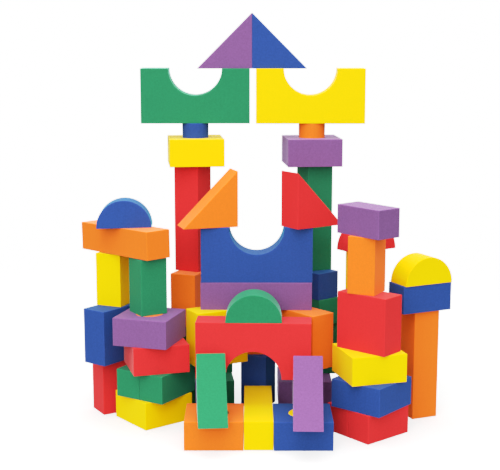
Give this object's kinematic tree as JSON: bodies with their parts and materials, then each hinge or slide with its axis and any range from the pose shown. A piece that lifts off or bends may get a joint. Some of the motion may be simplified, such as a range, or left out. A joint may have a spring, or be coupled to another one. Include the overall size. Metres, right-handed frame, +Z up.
{
  "type": "foam building block castle",
  "caption": "Castle stacked from giant loose foam blocks: slabs, bricks, columns, arches, half-rounds, triangles and round plugs in six colours, with a gate and two roofed towers.",
  "frame": {"origin": "on the floor, under the middle of the long yellow bar in the front row", "axes": "+X to the right seen from the front, +Y to the back, +Z up"},
  "size_m": [0.9455, 0.5666, 1.018],
  "materials": {
    "foam_purple": "matte fine-grained foam",
    "foam_blue": "matte fine-grained foam",
    "foam_green": "matte fine-grained foam",
    "foam_yellow": "matte fine-grained foam",
    "foam_red": "matte fine-grained foam",
    "foam_orange": "matte fine-grained foam"
  },
  "bodies": {
    "base": {"front_slab_orange": "foam_orange", "front_bar_yellow": "foam_yellow", "front_slab_blue": "foam_blue", "gate_post_left": "foam_purple", "gate_post_right": "foam_purple", "wall_block_yellow": "foam_yellow", "wall_block_orange": "foam_orange", "left_slab_yellow": "foam_yellow", "left_brick_green_a": "foam_green", "left_brick_green_b": "foam_green", "left_slab_red": "foam_red", "left_slab_purple": "foam_purple", "plug_orange": "foam_orange", "left_post_green": "foam_green", "left_post_red": "foam_red", "left_block_blue": "foam_blue", "left_post_yellow": "foam_yellow", "right_brick_red_a": "foam_red", "right_brick_red_b": "foam_red"},
    "ramp_green": {"ramp_green": "foam_green"},
    "plug_yellow": {"plug_yellow": "foam_yellow"},
    "ramp_purple": {"ramp_purple": "foam_purple"},
    "gate_arch_red": {"gate_arch_red": "foam_red"},
    "gate_half_green": {"gate_half_green": "foam_green"},
    "wall_bar_purple": {"wall_bar_purple": "foam_purple"},
    "wall_arch_blue": {"wall_arch_blue": "foam_blue"},
    "wall_triangle_orange": {"wall_triangle_orange": "foam_orange"},
    "wall_triangle_red": {"wall_triangle_red": "foam_red"},
    "rear_post_blue": {"rear_post_blue": "foam_blue"},
    "rear_post_orange": {"rear_post_orange": "foam_orange"},
    "left_tower_slab": {"left_tower_slab": "foam_green"},
    "left_tower_block": {"left_tower_block": "foam_green"},
    "left_tower_upright": {"left_tower_upright": "foam_orange"},
    "left_tower_column": {"left_tower_column": "foam_red"},
    "left_tower_cap": {"left_tower_cap": "foam_yellow"},
    "left_tower_plug": {"left_tower_plug": "foam_blue"},
    "left_tower_arch": {"left_tower_arch": "foam_green"},
    "left_tower_roof": {"left_tower_roof": "foam_purple"},
    "right_tower_slab": {"right_tower_slab": "foam_purple"},
    "right_tower_block": {"right_tower_block": "foam_green"},
    "right_tower_brick_low": {"right_tower_brick_low": "foam_green"},
    "right_tower_brick_top": {"right_tower_brick_top": "foam_blue"},
    "right_tower_column": {"right_tower_column": "foam_green"},
    "right_tower_cap": {"right_tower_cap": "foam_purple"},
    "right_tower_plug": {"right_tower_plug": "foam_orange"},
    "right_tower_arch": {"right_tower_arch": "foam_yellow"},
    "right_tower_roof": {"right_tower_roof": "foam_blue"},
    "left_beam_orange": {"left_beam_orange": "foam_orange"},
    "left_half_blue": {"left_half_blue": "foam_blue"},
    "right_slab_blue": {"right_slab_blue": "foam_blue"},
    "right_slab_yellow": {"right_slab_yellow": "foam_yellow"},
    "right_block_red": {"right_block_red": "foam_red"},
    "right_post_orange": {"right_post_orange": "foam_orange"},
    "right_brick_purple": {"right_brick_purple": "foam_purple"},
    "right_hidden_column": {"right_hidden_column": "foam_green"},
    "right_hidden_post": {"right_hidden_post": "foam_yellow"},
    "right_half_red": {"right_half_red": "foam_red"},
    "right_column_orange": {"right_column_orange": "foam_orange"},
    "right_brick_blue": {"right_brick_blue": "foam_blue"},
    "right_half_yellow": {"right_half_yellow": "foam_yellow"}
  },
  "joints": [
    {"name": "lift_ramp_green", "type": "slide", "parent": "base", "child": "ramp_green", "axis": [0, 0, 1], "range_m": [0, 0.056]},
    {"name": "lift_plug_yellow", "type": "slide", "parent": "base", "child": "plug_yellow", "axis": [0, 0, 1], "range_m": [0, 0.056]},
    {"name": "lift_ramp_purple", "type": "slide", "parent": "plug_yellow", "child": "ramp_purple", "axis": [0, 0, 1], "range_m": [0, 0.056]},
    {"name": "lift_gate_arch_red", "type": "slide", "parent": "base", "child": "gate_arch_red", "axis": [0, 0, 1], "range_m": [0, 0.056]},
    {"name": "lift_gate_half_green", "type": "slide", "parent": "gate_arch_red", "child": "gate_half_green", "axis": [0, 0, 1], "range_m": [0, 0.056]},
    {"name": "lift_wall_bar_purple", "type": "slide", "parent": "base", "child": "wall_bar_purple", "axis": [0, 0, 1], "range_m": [0, 0.056]},
    {"name": "lift_wall_arch_blue", "type": "slide", "parent": "wall_bar_purple", "child": "wall_arch_blue", "axis": [0, 0, 1], "range_m": [0, 0.056]},
    {"name": "lift_wall_triangle_orange", "type": "slide", "parent": "wall_arch_blue", "child": "wall_triangle_orange", "axis": [0, 0, 1], "range_m": [0, 0.056]},
    {"name": "lift_wall_triangle_red", "type": "slide", "parent": "wall_arch_blue", "child": "wall_triangle_red", "axis": [0, 0, 1], "range_m": [0, 0.056]},
    {"name": "lift_rear_post_blue", "type": "slide", "parent": "base", "child": "rear_post_blue", "axis": [0, 0, 1], "range_m": [0, 0.056]},
    {"name": "lift_rear_post_orange", "type": "slide", "parent": "rear_post_blue", "child": "rear_post_orange", "axis": [0, 0, 1], "range_m": [0, 0.056]},
    {"name": "lift_left_tower_slab", "type": "slide", "parent": "base", "child": "left_tower_slab", "axis": [0, 0, 1], "range_m": [0, 0.056]},
    {"name": "lift_left_tower_block", "type": "slide", "parent": "left_tower_slab", "child": "left_tower_block", "axis": [0, 0, 1], "range_m": [0, 0.056]},
    {"name": "lift_left_tower_upright", "type": "slide", "parent": "left_tower_block", "child": "left_tower_upright", "axis": [0, 0, 1], "range_m": [0, 0.056]},
    {"name": "lift_left_tower_column", "type": "slide", "parent": "left_tower_upright", "child": "left_tower_column", "axis": [0, 0, 1], "range_m": [0, 0.056]},
    {"name": "lift_left_tower_cap", "type": "slide", "parent": "left_tower_column", "child": "left_tower_cap", "axis": [0, 0, 1], "range_m": [0, 0.056]},
    {"name": "lift_left_tower_plug", "type": "slide", "parent": "left_tower_cap", "child": "left_tower_plug", "axis": [0, 0, 1], "range_m": [-0.037, 0.056]},
    {"name": "lift_left_tower_arch", "type": "slide", "parent": "left_tower_plug", "child": "left_tower_arch", "axis": [0, 0, 1], "range_m": [0, 0.056]},
    {"name": "lift_left_tower_roof", "type": "slide", "parent": "left_tower_arch", "child": "left_tower_roof", "axis": [0, 0, 1], "range_m": [0, 0.056]},
    {"name": "lift_right_tower_slab", "type": "slide", "parent": "base", "child": "right_tower_slab", "axis": [0, 0, 1], "range_m": [0, 0.056]},
    {"name": "lift_right_tower_block", "type": "slide", "parent": "right_tower_slab", "child": "right_tower_block", "axis": [0, 0, 1], "range_m": [0, 0.056]},
    {"name": "lift_right_tower_brick_low", "type": "slide", "parent": "right_tower_block", "child": "right_tower_brick_low", "axis": [0, 0, 1], "range_m": [0, 0.056]},
    {"name": "lift_right_tower_brick_top", "type": "slide", "parent": "right_tower_brick_low", "child": "right_tower_brick_top", "axis": [0, 0, 1], "range_m": [0, 0.056]},
    {"name": "lift_right_tower_column", "type": "slide", "parent": "right_tower_brick_top", "child": "right_tower_column", "axis": [0, 0, 1], "range_m": [0, 0.056]},
    {"name": "lift_right_tower_cap", "type": "slide", "parent": "right_tower_column", "child": "right_tower_cap", "axis": [0, 0, 1], "range_m": [0, 0.056]},
    {"name": "lift_right_tower_plug", "type": "slide", "parent": "right_tower_cap", "child": "right_tower_plug", "axis": [0, 0, 1], "range_m": [-0.037, 0.056]},
    {"name": "lift_right_tower_arch", "type": "slide", "parent": "right_tower_plug", "child": "right_tower_arch", "axis": [0, 0, 1], "range_m": [0, 0.056]},
    {"name": "lift_right_tower_roof", "type": "slide", "parent": "right_tower_arch", "child": "right_tower_roof", "axis": [0, 0, 1], "range_m": [0, 0.056]},
    {"name": "lift_left_beam_orange", "type": "slide", "parent": "base", "child": "left_beam_orange", "axis": [0, 0, 1], "range_m": [0, 0.056]},
    {"name": "lift_left_half_blue", "type": "slide", "parent": "left_beam_orange", "child": "left_half_blue", "axis": [0, 0, 1], "range_m": [0, 0.056]},
    {"name": "lift_right_slab_blue", "type": "slide", "parent": "base", "child": "right_slab_blue", "axis": [0, 0, 1], "range_m": [0, 0.056]},
    {"name": "lift_right_slab_yellow", "type": "slide", "parent": "right_slab_blue", "child": "right_slab_yellow", "axis": [0, 0, 1], "range_m": [0, 0.056]},
    {"name": "lift_right_block_red", "type": "slide", "parent": "right_slab_yellow", "child": "right_block_red", "axis": [0, 0, 1], "range_m": [0, 0.056]},
    {"name": "lift_right_post_orange", "type": "slide", "parent": "right_block_red", "child": "right_post_orange", "axis": [0, 0, 1], "range_m": [0, 0.056]},
    {"name": "lift_right_brick_purple", "type": "slide", "parent": "right_post_orange", "child": "right_brick_purple", "axis": [0, 0, 1], "range_m": [0, 0.056]},
    {"name": "lift_right_hidden_column", "type": "slide", "parent": "base", "child": "right_hidden_column", "axis": [0, 0, 1], "range_m": [0, 0.056]},
    {"name": "lift_right_hidden_post", "type": "slide", "parent": "right_hidden_column", "child": "right_hidden_post", "axis": [0, 0, 1], "range_m": [0, 0.056]},
    {"name": "lift_right_half_red", "type": "slide", "parent": "right_hidden_post", "child": "right_half_red", "axis": [0, 0, 1], "range_m": [0, 0.056]},
    {"name": "lift_right_column_orange", "type": "slide", "parent": "base", "child": "right_column_orange", "axis": [0, 0, 1], "range_m": [0, 0.056]},
    {"name": "lift_right_brick_blue", "type": "slide", "parent": "right_column_orange", "child": "right_brick_blue", "axis": [0, 0, 1], "range_m": [0, 0.056]},
    {"name": "lift_right_half_yellow", "type": "slide", "parent": "right_brick_blue", "child": "right_half_yellow", "axis": [0, 0, 1], "range_m": [0, 0.056]}
  ]
}
